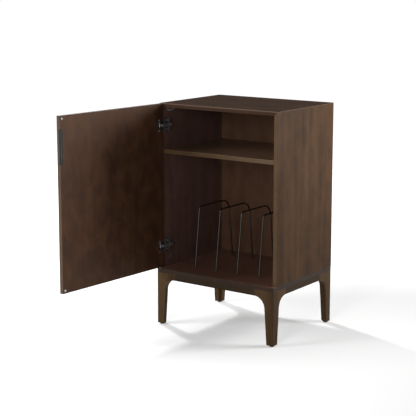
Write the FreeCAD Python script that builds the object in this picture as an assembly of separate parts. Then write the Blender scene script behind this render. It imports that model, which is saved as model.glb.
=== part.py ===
import FreeCAD, Part
import math
import os

# Record cabinet: a case with one door on a low leg frame, a shelf at the top and wire
# dividers for records below it.  Sizes are in millimetres.  +X is to the right seen from
# the front, +Y is to the back and +Z is up.  The origin is on the floor, under the middle
# of the leg frame.  The door stands open against the stop of its hinges.

V = FreeCAD.Vector
UP = V(0, 0, 1)
DOWN = V(0, 0, -1)
RIGHT = V(1, 0, 0)
LEFT = V(-1, 0, 0)
BACK = V(0, 1, 0)
FRONT = V(0, -1, 0)

# ---- Case: mitred top and sides that stand on the floor panel -------------------------
cabinet_width = 500.0
case_depth = 370.0
case_height = 600.0             # from the floor panel's top face to the cabinet's top
top_thickness = 15.0
side_thickness = 15.0
floor_thickness = 15.0
panel_edge_radius = 0.8         # softened edges of the boards
floor_corner_radius = 2.0       # upright corners of the floor panel and the legs
back_thickness = 4.0
back_rebate_width = 8.0         # how far the back panel reaches into the case
back_clearance = 0.3            # round the back panel's edges

# ---- Shelf ---------------------------------------------------------------------------
shelf_thickness = 15.0
shelf_underside = 419.0         # above the floor panel
shelf_setback = 5.0             # behind the case's front edges
shelf_back_gap = 2.0            # in front of the back panel
shelf_end_clearance = 0.2       # at each side panel

# ---- Door and its concealed hinges ---------------------------------------------------
door_thickness = 15.0
door_top_reveal = 1.0           # below the cabinet's top
door_floor_gap = 4.0            # above the floor panel
door_edge_radius = 1.5
door_open_angle = 94.0
door_swing_clearance = 0.35     # between the turning door edge and the case
hinge_end_distance = 78.0       # hinge centre from the door's top or bottom edge
hinge_pin_setback = 9.0         # pin from the door's hinge edge
hinge_pin_depth = 8.8           # pin behind the door's inner face
hinge_pin_diameter = 2.2
hinge_eye_wall = 0.9
hinge_running_clearance = 0.05  # round each hinge pin
cup_diameter = 26.0
cup_depth = 12.0
cup_inset = 4.0                 # door edge to the cup's bore
cup_wall = 0.8
cup_fit = 0.1                   # round the cup in its bore
flange_thickness = 1.0
flange_rim = 1.5                # flange beyond the cup's bore
flange_ear_height = 48.0
flange_ear_width = 12.0
flange_ear_offset = 4.0         # ears' middle from the cup's middle, away from the hinge edge
flange_ear_radius = 4.0
flange_screw_spacing = 38.0
arm_height = 14.0
arm_eye_height = 9.0            # the arm narrows to this at its eye
arm_taper_end = 5.0             # the arm is full height this far behind the case's front edge
arm_sheet = 2.0
arm_standoff = 8.0              # arm's middle from the side panel's face
arm_length = 44.0               # behind the case's front edge
arm_cheek_sheet = 1.2
arm_cheek_gap = 0.2             # between a cheek and the plate's rail
plate_rail_width = 9.0
plate_height = 48.0
plate_width = 25.0
plate_sheet = 1.5
plate_lip_height = 5.0          # from the side panel's face
plate_lip_gap = 0.5             # between a lip's end and the arm
plate_corner_radius = 3.0
plate_setback = 20.0            # plate's middle behind the case's front edge
plate_screw_spacing = 32.0
arm_screw_first = 26.0          # behind the case's front edge
arm_screw_pitch = 12.0

# ---- Finger pull let into the door's free edge ---------------------------------------
pull_top_distance = 43.0        # below the door's top edge
pull_height = 120.0
pull_width = 14.0               # in from the free edge
pull_depth = 10.0               # in from the door's inner face
pull_corner_radius = 7.0
pull_floor_radius = 4.5
pull_sheet = 1.2
pull_fit = 0.1

# ---- Bumpers on the door's inner face ------------------------------------------------
bumper_diameter = 9.0
bumper_height = 3.0
bumper_edge_distance = 10.0

# ---- Record dividers -----------------------------------------------------------------
divider_count = 4
divider_pitch = 92.0
divider_wire = 5.0
divider_base = 238.0            # from foot to foot
divider_height = 222.0          # to the middle of the top wire
divider_lean = 27.0             # each upright leans in by this much
divider_front_setback = 62.0    # front feet behind the case's front edges
divider_front_bend = 12.0
divider_back_bend = 45.0
divider_foot_bend = 15.0
divider_foot_rise = 1.5         # upright stretch of each foot above the floor panel
divider_foot_depth = 9.0        # in the floor panel
divider_foot_fit = 0.1

# ---- Leg frame -----------------------------------------------------------------------
leg_height = 190.0              # from the glide to the floor panel
frame_board = 16.0              # thickness of the leg boards and rails
rail_height = 22.5
knee_radius = 42.0
knee_land = 2.0                 # straight edge between the knee and the rail joint
leg_top_width = 36.0            # below the knee
leg_foot_width = 27.0
corner_block_leg = 30.0
corner_block_height = 20.0
block_screw_inset = 9.0         # screw from both inner faces of the leg
glide_diameter = 16.0
glide_height = 5.0
glide_inset = 12.0              # glide's middle from both outer faces of the leg
glide_edge_radius = 1.0
glide_nail_diameter = 3.0
glide_nail_length = 15.0
glide_nail_fit = 0.05

# ---- Joinery and fasteners -----------------------------------------------------------
dowel_diameter = 8.0
dowel_length = 28.0
dowel_in_panel = 10.0           # how deep a dowel goes into a panel's face
rail_dowel_diameter = 6.0
rail_dowel_length = 24.0
dowel_fit = 0.05
dowel_end_gap = 0.5
cam_diameter = 15.0
cam_depth = 12.0
cam_above_floor = 34.0
cam_setback = 37.0              # from the case's front and back edges
cam_fit = 0.1
cam_slot_length = 9.6
cam_slot_width = 1.6
cam_slot_depth = 2.0
cam_bolt_diameter = 6.0
cam_bolt_head = 7.0
cam_bolt_in_floor = 10.0
cam_channel_clearance = 0.5
side_dowel_setback = 75.0       # dowels under each side, from its front and back edges
shelf_dowel_setback = 60.0      # dowels in each end of the shelf
bracket_length = 42.0
bracket_leg = 16.0
bracket_sheet = 1.5
bracket_setback = 28.0          # behind the case's front edges
bracket_screws_per_leg = 3
bracket_screw_pitch = 14.0
bracket_screw_offset = 11.5     # from the bracket's corner
small_screw_shank = 3.0
small_screw_head = 6.0
small_screw_length = 11.0
block_screw_shank = 4.0
block_screw_head = 8.0
block_screw_length = 30.0
rail_screw_length = 32.0
screw_head_depth = 1.8
screw_recess_width = 1.0
screw_recess_share = 0.3        # each recess arm's reach, as a share of the head's diameter
screw_recess_depth = 1.1
screw_fit = 0.05
back_screws_per_side = 4
back_screw_margin = 60.0        # first and last screw from the back panel's ends

# ---- Levels and planes that follow from the sizes above -------------------------------
half_width = cabinet_width / 2
inner_half = half_width - side_thickness
leg_bottom = glide_height
floor_bottom = leg_bottom + leg_height
floor_top = floor_bottom + floor_thickness
case_top = floor_top + case_height
shelf_bottom = floor_top + shelf_underside
shelf_top = shelf_bottom + shelf_thickness

corner_across = hinge_pin_setback - door_edge_radius
corner_along = hinge_pin_depth - door_edge_radius
swing_radius = math.hypot(corner_across, corner_along) + door_edge_radius
door_gap = swing_radius - hinge_pin_depth + door_swing_clearance
ledge_depth = door_thickness + door_gap

frame_depth = case_depth + ledge_depth
frame_front = -frame_depth / 2
frame_back = frame_depth / 2
case_front = frame_front + ledge_depth
case_back = frame_back
back_panel_face = case_back - back_thickness

door_inner_face = case_front - door_gap
door_outer_face = door_inner_face - door_thickness
door_bottom = floor_top + door_floor_gap
door_top = case_top - door_top_reveal
hinge_levels = {"upper": door_top - hinge_end_distance, "lower": door_bottom + hinge_end_distance}
pin_x = -half_width + hinge_pin_setback
pin_y = door_inner_face - hinge_pin_depth
cup_radius = cup_diameter / 2
cup_x = -half_width + cup_inset + cup_radius
arm_screw_length = arm_standoff - arm_sheet / 2     # to the side panel's face
leg_head_length = leg_top_width + knee_radius + knee_land
small_screw_sizes = (small_screw_shank, small_screw_head)
block_screw_sizes = (block_screw_shank, block_screw_head)
rail_dowel_sizes = (rail_dowel_length, rail_dowel_diameter)


# ---- Helpers -------------------------------------------------------------------------
def block(x_range, y_range, z_range):
    """A box between two planes along each axis."""
    low = V(min(x_range), min(y_range), min(z_range))
    high = V(max(x_range), max(y_range), max(z_range))
    size = high - low
    return Part.makeBox(size.x, size.y, size.z, low)


def rod(start, direction, length, diameter):
    """A round bar from start along direction."""
    return Part.makeCylinder(diameter / 2, length, start, direction)


def prism(corners, along):
    """A straight prism on a polygon of points."""
    outline = Part.makePolygon(corners + [corners[0]])
    return Part.Face(outline).extrude(along)


def near(value, target):
    """Whether a coordinate is the target; a target of None accepts any."""
    return target is None or abs(value - target) < 1e-4


def soften(shape, radius, places):
    """Round the straight edges whose both ends lie on one of the given (x, y, z) places."""
    chosen = []
    for edge in shape.Edges:
        ends = [vertex.Point for vertex in edge.Vertexes]
        for x, y, z in places:
            if all(near(end.x, x) and near(end.y, y) and near(end.z, z) for end in ends):
                chosen.append(edge)
                break
    return shape.makeFillet(radius, chosen)


def placed(shape, point, direction):
    """A copy of a shape made along +Z at the origin, moved to point and turned to direction."""
    copy = shape.copy()
    copy.Placement = FreeCAD.Placement(point, FreeCAD.Rotation(UP, direction))
    return copy


def bent_wire(points, radii, diameter):
    """Round wire along straight runs joined by tangent arcs, one radius for each inner point."""
    edges = []
    run_start = points[0]
    for before, corner, after, radius in zip(points, points[1:], points[2:], radii):
        into = (corner - before).normalize()
        out = (after - corner).normalize()
        half_turn = into.getAngle(out) / 2
        cut_back = radius * math.tan(half_turn)
        arc_start = corner - into * cut_back
        arc_end = corner + out * cut_back
        towards_centre = (out - into).normalize()
        arc_middle = corner + towards_centre * (radius / math.cos(half_turn) - radius)
        edges.append(Part.LineSegment(run_start, arc_start).toShape())
        edges.append(Part.Arc(arc_start, arc_middle, arc_end).toShape())
        run_start = arc_end
    edges.append(Part.LineSegment(run_start, points[-1]).toShape())
    path = Part.Wire(edges)
    section = Part.Wire(Part.makeCircle(diameter / 2, points[0], points[1] - points[0]))
    return path.makePipeShell([section], True, False)


def screw(point, direction, length, sizes):
    """A countersunk cross-head screw whose head is flush at point and whose tip goes in."""
    shank, head = sizes
    body = Part.makeCone(head / 2, shank / 2, screw_head_depth)
    body = body.fuse(Part.makeCylinder(shank / 2, length))
    reach = head * screw_recess_share
    slot = screw_recess_width / 2
    for arm_x, arm_y in ((reach, slot), (slot, reach)):
        body = body.cut(block((-arm_x, arm_x), (-arm_y, arm_y), (0, screw_recess_depth)))
    return placed(body, point, direction)


def screw_hole(point, direction, length, sizes):
    """The countersunk hole that holds a screw of the same sizes."""
    shank, head = sizes
    top = Part.makeCone(head / 2 + screw_fit, shank / 2 + screw_fit, screw_head_depth)
    shaft = Part.makeCylinder(shank / 2 + screw_fit, length + dowel_end_gap)
    return placed(top.fuse(shaft), point, direction)


def small_screws(places):
    """A small screw at each head point, going in along its direction."""
    return [screw(p, d, small_screw_length, small_screw_sizes) for p, d in places]


def small_screw_holes(places):
    """The holes of the same small screws."""
    return [screw_hole(p, d, small_screw_length, small_screw_sizes) for p, d in places]


def dowel_hole(point, direction, length, diameter):
    """Room for a dowel in both pieces that it joins."""
    start = point - direction * dowel_end_gap
    return rod(start, direction, length + 2 * dowel_end_gap, diameter + 2 * dowel_fit)


def without(shape, tools):
    """The shape with every tool cut away."""
    return shape.cut(tools) if tools else shape


# ---- Where the joinery goes ----------------------------------------------------------
def side_dowel_places():
    """Points in the floor panel under both sides, where dowels stand up."""
    level = floor_top - dowel_in_panel
    places = []
    for side in (-1, 1):
        middle = side * (half_width - side_thickness / 2)
        for y in (case_front + side_dowel_setback, case_back - side_dowel_setback):
            places.append(V(middle, y, level))
    return places


def shelf_dowel_places():
    """Start points and directions of the dowels from the side panels into the shelf."""
    level = shelf_bottom + shelf_thickness / 2
    front = case_front + shelf_dowel_setback
    back = case_back - shelf_dowel_setback
    places = []
    for side, direction in ((-1, RIGHT), (1, LEFT)):
        for y in (front, back):
            places.append((V(side * (inner_half + dowel_in_panel), y, level), direction))
    return places


def cam_places():
    """Centre of each cam's face on the side panels, and the direction into the panel."""
    level = floor_top + cam_above_floor
    places = []
    for side, direction in ((-1, LEFT), (1, RIGHT)):
        for y in (case_front + cam_setback, case_back - cam_setback):
            places.append((V(side * inner_half, y, level), direction))
    return places


def cam_bolt_foot(cam_face):
    """Lower end of the bolt that a cam pulls on."""
    side = math.copysign(1, cam_face.x)
    return V(side * (half_width - side_thickness / 2), cam_face.y, floor_top - cam_bolt_in_floor)


def bracket_screw_places():
    """Head points and directions of the screws through the brackets under the top."""
    middle = case_front + bracket_setback + bracket_length / 2
    first = middle - bracket_screw_pitch * (bracket_screws_per_leg - 1) / 2
    under_top = case_top - top_thickness
    places = []
    for side, outward in ((-1, LEFT), (1, RIGHT)):
        wall = side * (inner_half - bracket_sheet)
        inboard = side * (inner_half - bracket_screw_offset)
        for index in range(bracket_screws_per_leg):
            y = first + index * bracket_screw_pitch
            places.append((V(wall, y, under_top - bracket_screw_offset), outward))
            places.append((V(inboard, y, under_top - bracket_sheet), UP))
    return places


def plate_screw_places():
    """Head points and directions of the screws that hold the hinge plates."""
    x = -inner_half + plate_sheet
    y = case_front + plate_setback
    half = plate_screw_spacing / 2
    return [(V(x, y, level + step), LEFT) for level in hinge_levels.values() for step in (-half, half)]


def arm_screw_places(level):
    """Head points of the two screws through a hinge arm."""
    x = -inner_half + arm_standoff + arm_sheet / 2
    first = case_front + arm_screw_first
    return [V(x, y, level) for y in (first, first + arm_screw_pitch)]


def cup_screw_places(level):
    """Head points and directions of the screws in a cup's ears, with the door closed."""
    x = cup_x + flange_ear_offset
    y = door_inner_face + flange_thickness
    half = flange_screw_spacing / 2
    return [(V(x, y, level + step), FRONT) for step in (-half, half)]


def back_screw_places():
    """Head points and directions of the screws up both edges of the back panel."""
    x = inner_half + back_rebate_width / 2
    low = floor_top + back_screw_margin
    high = case_top - back_screw_margin
    step = (high - low) / (back_screws_per_side - 1)
    places = []
    for side in (-1, 1):
        for index in range(back_screws_per_side):
            places.append((V(side * x, case_back, low + index * step), FRONT))
    return places


def divider_columns():
    """X of each record divider, spread evenly about the middle."""
    first = -divider_pitch * (divider_count - 1) / 2
    return [first + index * divider_pitch for index in range(divider_count)]


def corners():
    """Name and outward signs of the four corners of the leg frame."""
    return (("front_left", -1, -1), ("front_right", 1, -1), ("back_left", -1, 1), ("back_right", 1, 1))


def leg_origin(side, end):
    """Outer corner of a leg, at the floor panel's underside."""
    return V(side * half_width, frame_front if end < 0 else frame_back, floor_bottom)


def block_screw_point(side, end):
    """Head point of the screw up through a corner block."""
    inward = frame_board + block_screw_inset
    corner = leg_origin(side, end)
    return V(corner.x - side * inward, corner.y - end * inward, floor_bottom - corner_block_height)


def block_screw_hole(side, end):
    """Hole of that screw, in the block and the floor panel."""
    return screw_hole(block_screw_point(side, end), UP, block_screw_length, block_screw_sizes)


def rail_screw_points():
    """Head points of the screws up through the middle of each rail."""
    level = floor_bottom - rail_height
    across = half_width - frame_board / 2
    along = frame_back - frame_board / 2
    return [V(0, -along, level), V(0, along, level), V(-across, 0, level), V(across, 0, level)]


def rail_screw_holes():
    """Holes of those screws, in the rails and the floor panel."""
    return [screw_hole(p, UP, rail_screw_length, block_screw_sizes) for p in rail_screw_points()]


def rail_dowel_places():
    """Start point and direction of each dowel between a leg and a rail."""
    level = floor_bottom - rail_height / 2
    half = rail_dowel_length / 2
    across = half_width - leg_head_length
    along = frame_back - leg_head_length
    middle_x = half_width - frame_board / 2
    middle_y = frame_back - frame_board / 2
    places = []
    for side in (-1, 1):
        for end in (-1, 1):
            places.append((V(side * across - half, end * middle_y, level), RIGHT))
            places.append((V(side * middle_x, end * along - half, level), BACK))
    return places


def rail_dowel_holes():
    """Room for the same dowels."""
    return [dowel_hole(p, d, *rail_dowel_sizes) for p, d in rail_dowel_places()]


# ---- Case ----------------------------------------------------------------------------
def case_ring():
    """Top and both sides in one, with softened edges and the rebate for the back panel."""
    under_top = case_top - top_thickness
    ring = block((-half_width, half_width), (case_front, case_back), (floor_top, case_top))
    outer_edges = [(-half_width, case_front, None), (half_width, case_front, None),
                   (None, case_front, case_top), (-half_width, None, case_top),
                   (half_width, None, case_top)]
    ring = soften(ring, panel_edge_radius, outer_edges)
    ring = ring.cut(block((-inner_half, inner_half), (case_front, case_back), (floor_top, under_top)))
    inner_edges = [(-inner_half, case_front, None), (inner_half, case_front, None),
                   (None, case_front, under_top)]
    ring = soften(ring, panel_edge_radius, inner_edges)
    reach = inner_half + back_rebate_width
    rebate_top = under_top + back_rebate_width
    return ring.cut(block((-reach, reach), (back_panel_face, case_back), (floor_top, rebate_top)))


def mitre_wedge():
    """The space that the top panel takes between its two mitres."""
    under_top = case_top - top_thickness
    y = case_front
    points = [V(-inner_half, y, under_top), V(inner_half, y, under_top),
              V(half_width + side_thickness, y, case_top + top_thickness),
              V(-half_width - side_thickness, y, case_top + top_thickness)]
    return prism(points, BACK * case_depth)


def make_case():
    """Top, sides, floor panel, back panel and shelf."""
    ring = case_ring()
    wedge = mitre_wedge()
    top = ring.common(wedge).Solids[0]
    sides = sorted(ring.cut(wedge).Solids, key=lambda solid: solid.CenterOfMass.x)

    dowels = [dowel_hole(p, UP, dowel_length, dowel_diameter) for p in side_dowel_places()]
    shelf_dowels = [dowel_hole(p, d, dowel_length, dowel_diameter) for p, d in shelf_dowel_places()]
    cams = [cam_pocket(p, d) for p, d in cam_places()]
    bolts = [cam_bolt_hole(p) for p, _ in cam_places()]
    bracket_holes = small_screw_holes(bracket_screw_places())
    plate_holes = small_screw_holes(plate_screw_places())
    back_holes = small_screw_holes(back_screw_places())
    side_tools = dowels + shelf_dowels + cams + bolts + bracket_holes + plate_holes + back_holes
    left, right = [without(side, side_tools) for side in sides]
    top = without(top, bracket_holes)

    floor = block((-half_width, half_width), (frame_front, frame_back), (floor_bottom, floor_top))
    floor = soften(floor, floor_corner_radius, [(x, y, None) for x in (-half_width, half_width)
                                                for y in (frame_front, frame_back)])
    floor = soften(floor, panel_edge_radius, [(None, frame_front, floor_top)])
    feet = [divider_foot_hole(x, y) for x in divider_columns() for y in divider_foot_lines()]
    block_screws = [block_screw_hole(side, end) for _, side, end in corners()]
    rail_screws = rail_screw_holes()
    floor = without(floor, dowels + bolts + feet + block_screws + rail_screws)

    reach = inner_half + back_rebate_width - back_clearance
    back_high = case_top - top_thickness + back_rebate_width - back_clearance
    back = block((-reach, reach), (back_panel_face, case_back), (floor_top, back_high))
    back = without(back, back_holes)

    end = inner_half - shelf_end_clearance
    shelf_front = case_front + shelf_setback
    shelf_back = back_panel_face - shelf_back_gap
    shelf = block((-end, end), (shelf_front, shelf_back), (shelf_bottom, shelf_top))
    front_arrises = [(None, shelf_front, z) for z in (shelf_bottom, shelf_top)]
    shelf = without(soften(shelf, panel_edge_radius, front_arrises), shelf_dowels)
    return {"top_panel": [top], "left_side_panel": [left], "right_side_panel": [right],
            "floor_panel": [floor], "back_panel": [back], "shelf": [shelf]}


# ---- Cam fittings, dowels, brackets and screws of the case ----------------------------
def cam_pocket(face, into):
    """Bore for a cam in a side panel's inner face."""
    return rod(face, into, cam_depth + cam_fit, cam_diameter + 2 * cam_fit)


def cam_bolt_hole(face):
    """Channel for a cam's bolt, up from the floor panel into the side panel."""
    foot = cam_bolt_foot(face)
    depth = cam_bolt_in_floor + dowel_end_gap
    level = V(foot.x, foot.y, floor_top)
    in_floor = rod(level, DOWN, depth, cam_bolt_diameter + 2 * dowel_fit)
    in_side = rod(level, UP, cam_above_floor, cam_bolt_head + 2 * cam_channel_clearance)
    return in_floor.fuse(in_side)


def cam_lock(face, into):
    """Round cam with a screwdriver slot and room for the bolt's head."""
    cam = rod(face, into, cam_depth, cam_diameter)
    reach = cam_slot_length / 2
    half = cam_slot_width / 2
    x_range = (face.x, face.x + into.x * cam_slot_depth)
    for wide, tall in ((reach, half), (half, reach)):
        cam = cam.cut(block(x_range, (face.y - wide, face.y + wide), (face.z - tall, face.z + tall)))
    foot = cam_bolt_foot(face)
    room = cam_bolt_head + 2 * cam_channel_clearance
    below = V(foot.x, foot.y, face.z - cam_diameter)
    return cam.cut(rod(below, UP, cam_diameter + cam_bolt_head / 2 + cam_channel_clearance, room))


def cam_bolt(face):
    """Bolt from the floor panel up to its head inside the cam."""
    foot = cam_bolt_foot(face)
    length = face.z - foot.z
    shank = rod(foot, UP, length, cam_bolt_diameter)
    head = rod(V(foot.x, foot.y, face.z - cam_bolt_head / 2), UP, cam_bolt_head, cam_bolt_head)
    return shank.fuse(head)


def corner_bracket(side):
    """Steel angle that holds the top to a side panel from inside."""
    y_range = (case_front + bracket_setback, case_front + bracket_setback + bracket_length)
    under_top = case_top - top_thickness
    wall = side * inner_half
    inboard = side * (inner_half - bracket_leg)
    upright = block((wall, wall - side * bracket_sheet), y_range, (under_top - bracket_leg, under_top))
    flat = block((wall, inboard), y_range, (under_top - bracket_sheet, under_top))
    return without(upright.fuse(flat).removeSplitter(), small_screw_holes(bracket_screw_places()))


def make_case_fittings():
    """Everything that joins the boards of the case."""
    dowels = [rod(p, UP, dowel_length, dowel_diameter) for p in side_dowel_places()]
    shelf_dowels = [rod(p, d, dowel_length, dowel_diameter) for p, d in shelf_dowel_places()]
    return {"side_dowels": dowels, "shelf_dowels": shelf_dowels,
            "cam_locks": [cam_lock(p, d) for p, d in cam_places()],
            "cam_bolts": [cam_bolt(p) for p, _ in cam_places()],
            "left_top_bracket": [corner_bracket(-1)], "right_top_bracket": [corner_bracket(1)],
            "bracket_screws": small_screws(bracket_screw_places()),
            "back_panel_screws": small_screws(back_screw_places())}


# ---- Record dividers -----------------------------------------------------------------
def divider_foot_lines():
    """Y of the front and back feet of a divider."""
    front = case_front + divider_front_setback
    return front, front + divider_base


def divider_foot_hole(x, y):
    """Hole in the floor panel for one foot."""
    depth = divider_foot_depth + divider_foot_fit
    return rod(V(x, y, floor_top), DOWN, depth, divider_wire + 2 * divider_foot_fit)


def divider(x):
    """One bent wire: two leaning uprights and a top, with a wide bend at the back."""
    front, back = divider_foot_lines()
    top = floor_top + divider_height
    start = floor_top + divider_foot_rise
    points = [V(x, front, floor_top - divider_foot_depth), V(x, front, start),
              V(x, front + divider_lean, top), V(x, back - divider_lean, top),
              V(x, back, start), V(x, back, floor_top - divider_foot_depth)]
    radii = [divider_foot_bend, divider_front_bend, divider_back_bend, divider_foot_bend]
    return bent_wire(points, radii, divider_wire)


def make_dividers():
    """The row of dividers, left to right."""
    return {"record_divider_%d" % (index + 1): [divider(x)] for index, x in enumerate(divider_columns())}


# ---- Hinges --------------------------------------------------------------------------
def arm_screw_holes(level):
    """Holes through a hinge arm and its plate's rail."""
    return [screw_hole(p, LEFT, arm_screw_length, small_screw_sizes) for p in arm_screw_places(level)]


def hinge_plate(level):
    """Pressed plate on the side panel, with turned-up lips and a rail that carries the arm."""
    wall = -inner_half
    middle_y = case_front + plate_setback
    y_range = (middle_y - plate_width / 2, middle_y + plate_width / 2)
    z_range = (level - plate_height / 2, level + plate_height / 2)
    plate = block((wall, wall + plate_lip_height), y_range, z_range)
    plate = soften(plate, plate_corner_radius, [(None, y, z) for y in y_range for z in z_range])
    floor_x = wall + plate_sheet
    top_x = wall + plate_lip_height
    channel_y = (y_range[0] + plate_sheet, y_range[1] - plate_sheet)
    channel = block((floor_x, top_x), channel_y, z_range)
    arm_space = arm_height / 2 + plate_lip_gap
    window = block((floor_x, top_x), y_range, (level - arm_space, level + arm_space))
    plate = without(plate, [channel, window])
    rail_y = (y_range[0], case_front + arm_length)
    rail_z = (level - plate_rail_width / 2, level + plate_rail_width / 2)
    rail = block((wall, wall + arm_standoff - arm_sheet / 2), rail_y, rail_z)
    holes = small_screw_holes(plate_screw_places()) + arm_screw_holes(level)
    return without(plate.fuse(rail).removeSplitter(), holes)


def arm_web(level, x):
    """The flat of a hinge arm, narrow at the pin and full height from the case's front."""
    full, narrow = arm_height / 2, arm_eye_height / 2
    front = pin_y - arm_sheet / 2
    wide = case_front + arm_taper_end
    back = case_front + arm_length
    outline = [(front, -narrow), (wide, -full), (back, -full), (back, full), (wide, full), (front, narrow)]
    points = [V(x - arm_sheet / 2, y, level + z) for y, z in outline]
    return prism(points, RIGHT * arm_sheet)


def hinge_arm(level):
    """Arm from its plate round into the cup, with the eye for the hinge pin."""
    middle_x = -inner_half + arm_standoff
    web = arm_web(level, middle_x)
    narrow_z = (level - arm_eye_height / 2, level + arm_eye_height / 2)
    neck = block((pin_x, middle_x), (pin_y - arm_sheet / 2, pin_y + arm_sheet / 2), narrow_z)
    eye_diameter = hinge_pin_diameter + 2 * (hinge_running_clearance + hinge_eye_wall)
    foot = V(pin_x, pin_y, narrow_z[0])
    arm = web.fuse([neck, rod(foot, UP, arm_eye_height, eye_diameter)])
    cheek_y = (case_front + arm_taper_end, case_front + arm_length)
    cheek_x = (-inner_half + plate_sheet + arm_cheek_gap, middle_x)
    inner = plate_rail_width / 2 + arm_cheek_gap
    for side in (-1, 1):
        cheek_z = (level + side * inner, level + side * (inner + arm_cheek_sheet))
        arm = arm.fuse(block(cheek_x, cheek_y, cheek_z))
    arm = arm.removeSplitter()
    bore = rod(foot, UP, arm_eye_height, hinge_pin_diameter + 2 * hinge_running_clearance)
    return without(arm, [bore] + arm_screw_holes(level))


def pin_half_length():
    """Half of a hinge pin, which ends inside the cup's wall."""
    outer_side = cup_x - pin_x + hinge_pin_diameter / 2
    return math.sqrt(cup_radius ** 2 - outer_side ** 2)


def hinge_pin(level):
    """The pin across a cup, pressed into its wall above and below."""
    half = pin_half_length()
    return rod(V(pin_x, pin_y, level - half), UP, 2 * half, hinge_pin_diameter)


def hinge_cup(level):
    """Pressed cup with its flange and ears, in the closed door."""
    mouth = V(cup_x, door_inner_face, level)
    cup = rod(mouth, FRONT, cup_depth, cup_diameter)
    flange = rod(mouth, BACK, flange_thickness, cup_diameter + 2 * flange_rim)
    ear_x = cup_x + flange_ear_offset
    ears = block((ear_x - flange_ear_width / 2, ear_x + flange_ear_width / 2),
                 (door_inner_face, door_inner_face + flange_thickness),
                 (level - flange_ear_height / 2, level + flange_ear_height / 2))
    upright = [(x, None, z) for x in (ears.BoundBox.XMin, ears.BoundBox.XMax)
               for z in (ears.BoundBox.ZMin, ears.BoundBox.ZMax)]
    ears = soften(ears, flange_ear_radius, upright)
    cup = cup.fuse([flange, ears]).removeSplitter()
    hollow = rod(mouth + BACK * flange_thickness, FRONT, cup_depth - cup_wall + flange_thickness,
                 cup_diameter - 2 * cup_wall)
    return without(cup, [hollow, hinge_pin(level)] + small_screw_holes(cup_screw_places(level)))


def make_hinges():
    """Fixed halves of both hinges."""
    plates = {name + "_hinge_plate": [hinge_plate(level)] for name, level in hinge_levels.items()}
    arms = {name + "_hinge_arm": [hinge_arm(level)] for name, level in hinge_levels.items()}
    plate_screws = small_screws(plate_screw_places())
    arm_screws = [screw(p, LEFT, arm_screw_length, small_screw_sizes)
                  for level in hinge_levels.values() for p in arm_screw_places(level)]
    return {**plates, **arms, "hinge_plate_screws": plate_screws, "hinge_arm_screws": arm_screws}


# ---- Door ----------------------------------------------------------------------------
def pull_pocket(fit, sheet):
    """Pocket for the finger pull, open at the free edge and the inner face.

    A fit or a sheet thickness moves its walls in, which gives the insert's outside and
    inside from the same sizes.
    """
    inward = fit + sheet
    high = door_top - pull_top_distance - inward
    low = door_top - pull_top_distance - pull_height + inward
    wall = half_width - pull_width + inward
    radius = pull_corner_radius - inward
    y_range = (door_inner_face - pull_depth + inward, door_inner_face)
    pocket = block((wall, half_width), y_range, (low, high))
    pocket = soften(pocket, radius, [(wall, None, low), (wall, None, high)])
    floor_edges = []
    for edge in pocket.Edges:
        ends = [vertex.Point for vertex in edge.Vertexes]
        on_floor = all(near(end.y, y_range[0]) for end in ends)
        at_mouth = all(near(end.x, half_width) for end in ends)
        if on_floor and not at_mouth:
            floor_edges.append(edge)
    return pocket.makeFillet(pull_floor_radius - inward, floor_edges)


def door_panel():
    """Closed door board with bores for the cups and the pocket for the pull."""
    outer_faces = (door_outer_face, door_inner_face)
    board = block((-half_width, half_width), outer_faces, (door_bottom, door_top))
    board = soften(board, door_edge_radius, [(-half_width, y, None) for y in outer_faces])
    rest = [(half_width, y, None) for y in outer_faces]
    rest += [(None, door_outer_face, z) for z in (door_bottom, door_top)]
    board = soften(board, panel_edge_radius, rest)
    tools = [pull_pocket(0, 0)]
    for level in hinge_levels.values():
        mouth = V(cup_x, door_inner_face, level)
        tools.append(rod(mouth, FRONT, cup_depth + cup_fit, cup_diameter + 2 * cup_fit))
        tools += small_screw_holes(cup_screw_places(level))
    return without(board, tools)


def bumper(level):
    """Soft dome near the door's free edge."""
    base = bumper_diameter / 2
    radius = (base ** 2 + bumper_height ** 2) / (2 * bumper_height)
    foot = V(half_width - bumper_edge_distance, door_inner_face, level)
    ball = Part.makeSphere(radius, foot + BACK * (bumper_height - radius))
    return ball.common(rod(foot, BACK, bumper_height, bumper_diameter))


def opened(shape):
    """A closed door piece, turned open about the hinge pins."""
    turned = shape.copy()
    turned.rotate(V(pin_x, pin_y, 0), UP, -door_open_angle)
    return turned


def make_door():
    """Everything that turns with the door."""
    levels = hinge_levels.values()
    insert = pull_pocket(pull_fit, 0).cut(pull_pocket(pull_fit, pull_sheet))
    cup_screws = [piece for level in levels for piece in small_screws(cup_screw_places(level))]
    bumpers = [bumper(door_top - bumper_edge_distance), bumper(door_bottom + bumper_edge_distance)]
    closed = {"door_panel": [door_panel()], "door_pull": [insert], "door_bumpers": bumpers,
              "hinge_pins": [hinge_pin(level) for level in levels], "hinge_cup_screws": cup_screws}
    for name, level in hinge_levels.items():
        closed[name + "_hinge_cup"] = [hinge_cup(level)]
    return {name: [opened(shape) for shape in shapes] for name, shapes in closed.items()}


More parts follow.
